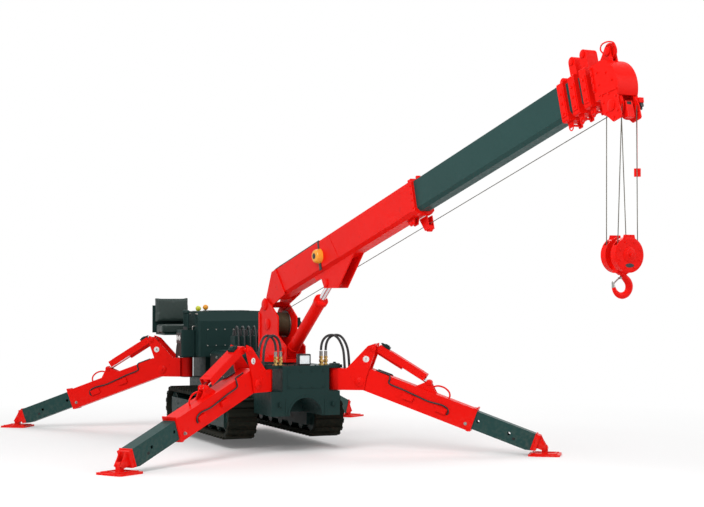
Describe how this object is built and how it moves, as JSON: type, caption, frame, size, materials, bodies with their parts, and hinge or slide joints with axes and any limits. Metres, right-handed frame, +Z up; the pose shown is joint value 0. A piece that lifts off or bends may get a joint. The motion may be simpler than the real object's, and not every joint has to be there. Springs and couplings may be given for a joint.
{
  "type": "crawler spider crane",
  "caption": "Compact tracked crane on spread outrigger legs, with a slewing column, luffing telescopic boom, hoist winch, rope falls, hook block and swivelling hook.",
  "frame": {"origin": "on the ground, in the middle of the ground box", "axes": "+X forward along the machine, +Y to its left, +Z up; the boom stands 7 degrees to the left of +X"},
  "size_m": [9.672, 4.831, 3.5797],
  "materials": {
    "red_paint": "gloss machine enamel",
    "green_paint": "satin machine enamel",
    "chassis_paint": "satin machine enamel",
    "track_rubber": "worn moulded rubber",
    "hose_rubber": "smooth hose cover",
    "chromed_rod": "ground hard chrome",
    "rope_steel": "greased stranded wire",
    "seat_cover": "grained vinyl",
    "lamp_body": "matt moulded",
    "sensor_body": "semi-gloss moulded"
  },
  "bodies": {
    "chassis": {"chassis_frame": "chassis_paint", "front_housing": "chassis_paint", "rear_housing": "chassis_paint", "machinery_deck": "chassis_paint", "engine_hood": "chassis_paint", "control_console": "chassis_paint", "seat_mount": "chassis_paint", "seat_pads": "seat_cover", "left_track": "track_rubber", "right_track": "track_rubber", "left_track_frame": "chassis_paint", "right_track_frame": "chassis_paint", "work_light": "lamp_body", "front_left_hoses": "hose_rubber", "front_right_hoses": "hose_rubber", "rear_left_hoses": "hose_rubber", "rear_right_hoses": "hose_rubber"},
    "column": {"column": "red_paint"},
    "winch_drum": {"winch_drum": "rope_steel"},
    "luff_barrel": {"luff_barrel": "red_paint"},
    "luff_rod": {"luff_rod": "chromed_rod"},
    "boom_base": {"boom_base": "red_paint", "boom_sensor": "sensor_body", "hoist_rope_base": "rope_steel"},
    "boom_2": {"boom_2": "green_paint", "hoist_rope_extension": "rope_steel"},
    "boom_3": {"boom_3": "green_paint"},
    "boom_4": {"boom_4": "green_paint"},
    "boom_5": {"boom_5": "green_paint", "boom_head": "red_paint"},
    "falls": {"rope_falls": "rope_steel", "overhoist_weight": "red_paint"},
    "hook_block": {"hook_block": "red_paint"},
    "hook": {"hook": "red_paint"},
    "front_left_knuckle": {"front_left_knuckle": "red_paint"},
    "front_left_arm": {"front_left_arm": "red_paint"},
    "front_left_lift_barrel": {"front_left_lift_barrel": "red_paint"},
    "front_left_lift_rod": {"front_left_lift_rod": "chromed_rod"},
    "front_left_inner_leg": {"front_left_inner_leg": "green_paint"},
    "front_left_foot_pad": {"front_left_foot_pad": "red_paint"},
    "front_right_knuckle": {"front_right_knuckle": "red_paint"},
    "front_right_arm": {"front_right_arm": "red_paint"},
    "front_right_lift_barrel": {"front_right_lift_barrel": "red_paint"},
    "front_right_lift_rod": {"front_right_lift_rod": "chromed_rod"},
    "front_right_inner_leg": {"front_right_inner_leg": "green_paint"},
    "front_right_foot_pad": {"front_right_foot_pad": "red_paint"},
    "rear_left_knuckle": {"rear_left_knuckle": "red_paint"},
    "rear_left_arm": {"rear_left_arm": "red_paint"},
    "rear_left_lift_barrel": {"rear_left_lift_barrel": "red_paint"},
    "rear_left_lift_rod": {"rear_left_lift_rod": "chromed_rod"},
    "rear_left_inner_leg": {"rear_left_inner_leg": "green_paint"},
    "rear_left_foot_pad": {"rear_left_foot_pad": "red_paint"},
    "rear_right_knuckle": {"rear_right_knuckle": "red_paint"},
    "rear_right_arm": {"rear_right_arm": "red_paint"},
    "rear_right_lift_barrel": {"rear_right_lift_barrel": "red_paint"},
    "rear_right_lift_rod": {"rear_right_lift_rod": "chromed_rod"},
    "rear_right_inner_leg": {"rear_right_inner_leg": "green_paint"},
    "rear_right_foot_pad": {"rear_right_foot_pad": "red_paint"}
  },
  "joints": [
    {"name": "slew", "type": "hinge", "parent": "chassis", "child": "column", "pos_m": [-1.10557, 0, 0.92], "axis": [0, 0, 1], "continuous": true},
    {"name": "drum_turn", "type": "hinge", "parent": "column", "child": "winch_drum", "pos_m": [-1.14527, -0.00487, 1.315], "axis": [0.1219, -0.9925, 0], "continuous": true},
    {"name": "luff", "type": "hinge", "parent": "column", "child": "boom_base", "pos_m": [-1.21078, -0.01292, 1.524], "axis": [0.1219, -0.9925, 0], "range_deg": [-12, 60], "deforming": ["hoist_rope_base"]},
    {"name": "luff_barrel_turn", "type": "hinge", "parent": "column", "child": "luff_barrel", "pos_m": [-0.80781, 0.03656, 1.032], "axis": [0.1219, -0.9925, 0], "range_deg": [-11.2, 52]},
    {"name": "luff_rod_slide", "type": "slide", "parent": "luff_barrel", "child": "luff_rod", "axis": [0.7734, 0.095, 0.6267], "range_m": [-0.1273, 0.6166]},
    {"name": "boom_2_slide", "type": "slide", "parent": "boom_base", "child": "boom_2", "axis": [0.956, 0.1174, 0.2689], "range_m": [-2.3, 0], "deforming": ["hoist_rope_extension"]},
    {"name": "boom_3_slide", "type": "slide", "parent": "boom_2", "child": "boom_3", "axis": [0.956, 0.1174, 0.2689], "range_m": [0, 2.3]},
    {"name": "boom_4_slide", "type": "slide", "parent": "boom_3", "child": "boom_4", "axis": [0.956, 0.1174, 0.2689], "range_m": [0, 2.3]},
    {"name": "boom_5_slide", "type": "slide", "parent": "boom_4", "child": "boom_5", "axis": [0.956, 0.1174, 0.2689], "range_m": [0, 2.3]},
    {"name": "falls_hang", "type": "hinge", "parent": "boom_5", "child": "falls", "pos_m": [4.73478, 0.7171, 3.08748], "axis": [0.1219, -0.9925, 0], "range_deg": [-60.5, 12.5]},
    {"name": "hoist", "type": "slide", "parent": "falls", "child": "hook_block", "axis": [0, 0, -1], "range_m": [-0.4, 1.35], "deforming": ["rope_falls"]},
    {"name": "hook_swivel", "type": "hinge", "parent": "hook_block", "child": "hook", "pos_m": [4.73478, 0.7171, 1.954], "axis": [0, 0, 1], "continuous": true},
    {"name": "front_left_swing", "type": "hinge", "parent": "chassis", "child": "front_left_knuckle", "pos_m": [-0.41557, 0.375, 0.645], "axis": [0, 0, -1], "range_deg": [-35, 35], "deforming": ["front_left_hoses"]},
    {"name": "front_left_raise", "type": "hinge", "parent": "front_left_knuckle", "child": "front_left_arm", "pos_m": [-0.25827, 0.61266, 0.73], "axis": [0.8339, -0.5519, 0], "range_deg": [0, 40]},
    {"name": "front_left_lift_turn", "type": "hinge", "parent": "front_left_knuckle", "child": "front_left_lift_barrel", "pos_m": [-0.17769, 0.7344, 1.078], "axis": [0.8339, -0.5519, 0], "range_deg": [-0.5, 47.29]},
    {"name": "front_left_lift_slide", "type": "slide", "parent": "front_left_lift_barrel", "child": "front_left_lift_rod", "axis": [0.4702, 0.7105, -0.5236], "range_m": [-0.2533, 0.003]},
    {"name": "front_left_extend", "type": "slide", "parent": "front_left_arm", "child": "front_left_inner_leg", "axis": [0.518, 0.7827, -0.3451], "range_m": [-0.6, 0]},
    {"name": "front_left_pad_tilt", "type": "hinge", "parent": "front_left_inner_leg", "child": "front_left_foot_pad", "pos_m": [0.79593, 2.20538, 0.084], "axis": [0.8339, -0.5519, 0], "range_deg": [-8, 8]},
    {"name": "front_right_swing", "type": "hinge", "parent": "chassis", "child": "front_right_knuckle", "pos_m": [-0.41557, -0.375, 0.645], "axis": [0, 0, 1], "range_deg": [-35, 35], "deforming": ["front_right_hoses"]},
    {"name": "front_right_raise", "type": "hinge", "parent": "front_right_knuckle", "child": "front_right_arm", "pos_m": [-0.25827, -0.61266, 0.73], "axis": [-0.8339, -0.5519, 0], "range_deg": [0, 40]},
    {"name": "front_right_lift_turn", "type": "hinge", "parent": "front_right_knuckle", "child": "front_right_lift_barrel", "pos_m": [-0.17769, -0.7344, 1.078], "axis": [-0.8339, -0.5519, 0], "range_deg": [-0.5, 47.29]},
    {"name": "front_right_lift_slide", "type": "slide", "parent": "front_right_lift_barrel", "child": "front_right_lift_rod", "axis": [0.4702, -0.7105, -0.5236], "range_m": [-0.2533, 0.003]},
    {"name": "front_right_extend", "type": "slide", "parent": "front_right_arm", "child": "front_right_inner_leg", "axis": [0.518, -0.7827, -0.3451], "range_m": [-0.6, 0]},
    {"name": "front_right_pad_tilt", "type": "hinge", "parent": "front_right_inner_leg", "child": "front_right_foot_pad", "pos_m": [0.79593, -2.20538, 0.084], "axis": [-0.8339, -0.5519, 0], "range_deg": [-8, 8]},
    {"name": "rear_left_swing", "type": "hinge", "parent": "chassis", "child": "rear_left_knuckle", "pos_m": [-3.35557, 0.375, 0.645], "axis": [0, 0, 1], "range_deg": [-35, 35], "deforming": ["rear_left_hoses"]},
    {"name": "rear_left_raise", "type": "hinge", "parent": "rear_left_knuckle", "child": "rear_left_arm", "pos_m": [-3.51659, 0.61016, 0.73], "axis": [0.8251, 0.565, 0], "range_deg": [0, 40]},
    {"name": "rear_left_lift_turn", "type": "hinge", "parent": "rear_left_knuckle", "child": "rear_left_lift_barrel", "pos_m": [-3.59907, 0.73062, 1.078], "axis": [0.8251, 0.565, 0], "range_deg": [-0.5, 47.29]},
    {"name": "rear_left_lift_slide", "type": "slide", "parent": "rear_left_lift_barrel", "child": "rear_left_lift_rod", "axis": [-0.4813, 0.703, -0.5236], "range_m": [-0.2533, 0.003]},
    {"name": "rear_left_extend", "type": "slide", "parent": "rear_left_arm", "child": "rear_left_inner_leg", "axis": [-0.5303, 0.7744, -0.3451], "range_m": [-0.6, 0]},
    {"name": "rear_left_pad_tilt", "type": "hinge", "parent": "rear_left_inner_leg", "child": "rear_left_foot_pad", "pos_m": [-4.59567, 2.18612, 0.084], "axis": [0.8251, 0.565, 0], "range_deg": [-8, 8]},
    {"name": "rear_right_swing", "type": "hinge", "parent": "chassis", "child": "rear_right_knuckle", "pos_m": [-3.35557, -0.375, 0.645], "axis": [0, 0, -1], "range_deg": [-35, 35], "deforming": ["rear_right_hoses"]},
    {"name": "rear_right_raise", "type": "hinge", "parent": "rear_right_knuckle", "child": "rear_right_arm", "pos_m": [-3.51659, -0.61016, 0.73], "axis": [-0.8251, 0.565, 0], "range_deg": [0, 40]},
    {"name": "rear_right_lift_turn", "type": "hinge", "parent": "rear_right_knuckle", "child": "rear_right_lift_barrel", "pos_m": [-3.59907, -0.73062, 1.078], "axis": [-0.8251, 0.565, 0], "range_deg": [-0.5, 47.29]},
    {"name": "rear_right_lift_slide", "type": "slide", "parent": "rear_right_lift_barrel", "child": "rear_right_lift_rod", "axis": [-0.4813, -0.703, -0.5236], "range_m": [-0.2533, 0.003]},
    {"name": "rear_right_extend", "type": "slide", "parent": "rear_right_arm", "child": "rear_right_inner_leg", "axis": [-0.5303, -0.7744, -0.3451], "range_m": [-0.6, 0]},
    {"name": "rear_right_pad_tilt", "type": "hinge", "parent": "rear_right_inner_leg", "child": "rear_right_foot_pad", "pos_m": [-4.59567, -2.18612, 0.084], "axis": [-0.8251, 0.565, 0], "range_deg": [-8, 8]}
  ],
  "couplings": [
    {"joint": "luff_barrel_turn", "follows": "luff", "ratio": 0.85},
    {"joint": "luff_rod_slide", "follows": "luff", "m_per_rad": 0.584},
    {"joint": "falls_hang", "follows": "luff", "ratio": -1},
    {"joint": "front_left_lift_turn", "follows": "front_left_raise", "ratio": 1.1698},
    {"joint": "front_left_lift_slide", "follows": "front_left_raise", "m_per_rad": -0.35848},
    {"joint": "front_right_lift_turn", "follows": "front_right_raise", "ratio": 1.1698},
    {"joint": "front_right_lift_slide", "follows": "front_right_raise", "m_per_rad": -0.35848},
    {"joint": "rear_left_lift_turn", "follows": "rear_left_raise", "ratio": 1.1698},
    {"joint": "rear_left_lift_slide", "follows": "rear_left_raise", "m_per_rad": -0.35848},
    {"joint": "rear_right_lift_turn", "follows": "rear_right_raise", "ratio": 1.1698},
    {"joint": "rear_right_lift_slide", "follows": "rear_right_raise", "m_per_rad": -0.35848}
  ]
}
